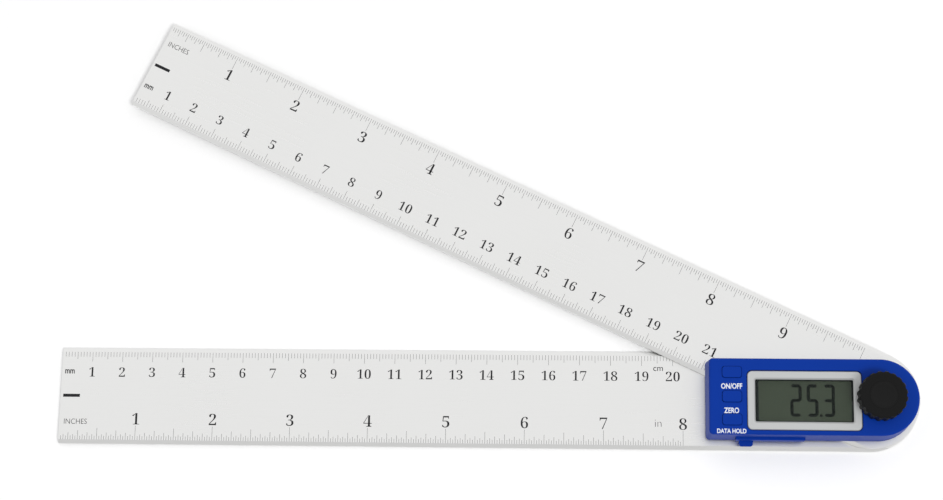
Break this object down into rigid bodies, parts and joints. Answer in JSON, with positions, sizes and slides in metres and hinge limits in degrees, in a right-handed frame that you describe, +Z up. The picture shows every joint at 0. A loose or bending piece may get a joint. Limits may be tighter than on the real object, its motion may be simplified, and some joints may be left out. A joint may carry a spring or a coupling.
{
  "type": "digital goniometer",
  "caption": "Digital goniometer: two long flat steel rules on one pivot, under a small rounded case with a display, keys and a fluted lock knob, for measuring angles.",
  "frame": {"origin": "on the pivot axis, in the underside of the base blade (which is flush with the head of the pivot stud)", "axes": "+Z up, out of the display; the base blade lies along -X from the pivot, with its centimetre edge on +Y; the swing blade is opened 25.3 degrees towards +Y"},
  "size_m": [0.2781, 0.1426, 0.0214],
  "materials": {
    "steel": "satin, fine lengthwise grain",
    "stud_steel": "turned",
    "brass": "turned",
    "fastener_steel": "zinc plated",
    "slip_plastic": "slippery, white",
    "blue_plastic": "moulded, satin",
    "key_plastic": "moulded, satin",
    "black_plastic": "moulded",
    "bezel_silver": "satin silver",
    "window_clear": "clear",
    "lcd_glass": "matt polariser",
    "strip_rubber": "matt",
    "board": "solder mask",
    "chip_resin": "cured resin",
    "contact_metal": "nickel plated",
    "cell_metal": "nickel plated"
  },
  "bodies": {
    "base": {"base_blade": "steel", "pivot_stud": "stud_steel", "lower_washer": "slip_plastic", "upper_washer": "slip_plastic", "case_bottom": "blue_plastic", "case_top": "blue_plastic", "case_screws": "fastener_steel", "key_bush": "brass", "spring_washer": "stud_steel", "retaining_nut": "fastener_steel", "display_bezel": "bezel_silver", "display_window": "window_clear", "lcd_panel": "lcd_glass", "contact_strips": "strip_rubber", "circuit_board": "board", "board_screws": "fastener_steel", "measuring_chip": "chip_resin", "quartz_crystal": "cell_metal", "key_domes": "contact_metal", "contact_minus": "contact_metal", "contact_plus": "contact_metal"},
    "swing_blade": {"swing_blade": "steel", "hub_bush": "brass", "hub_screws": "fastener_steel", "sensor_rotor": "board"},
    "lock_knob": {"lock_knob": "black_plastic", "knob_insert": "brass", "knob_cap": "black_plastic"},
    "battery_tray": {"battery_tray": "blue_plastic", "coin_cell": "cell_metal"},
    "key_power": {"key_power": "key_plastic"},
    "key_zero": {"key_zero": "key_plastic"},
    "key_hold": {"key_hold": "key_plastic"}
  },
  "joints": [
    {"name": "blade_swing", "type": "hinge", "parent": "base", "child": "swing_blade", "pos_m": [0, 0, 0.0018], "axis": [0, 0, -1], "continuous": true},
    {"name": "knob_turn", "type": "hinge", "parent": "base", "child": "lock_knob", "pos_m": [0, 0, 0.01505], "axis": [0, 0, 1], "range_deg": [0, 180]},
    {"name": "tray_slide", "type": "slide", "parent": "base", "child": "battery_tray", "axis": [0, -1, 0], "range_m": [0, 0.024]},
    {"name": "key_power_press", "type": "slide", "parent": "base", "child": "key_power", "axis": [0, 0, -1], "range_m": [0, 0.0004], "stiffness_N_per_m": 1500},
    {"name": "key_zero_press", "type": "slide", "parent": "base", "child": "key_zero", "axis": [0, 0, -1], "range_m": [0, 0.0004], "stiffness_N_per_m": 1500},
    {"name": "key_hold_press", "type": "slide", "parent": "base", "child": "key_hold", "axis": [0, 0, -1], "range_m": [0, 0.0004], "stiffness_N_per_m": 1500}
  ]
}
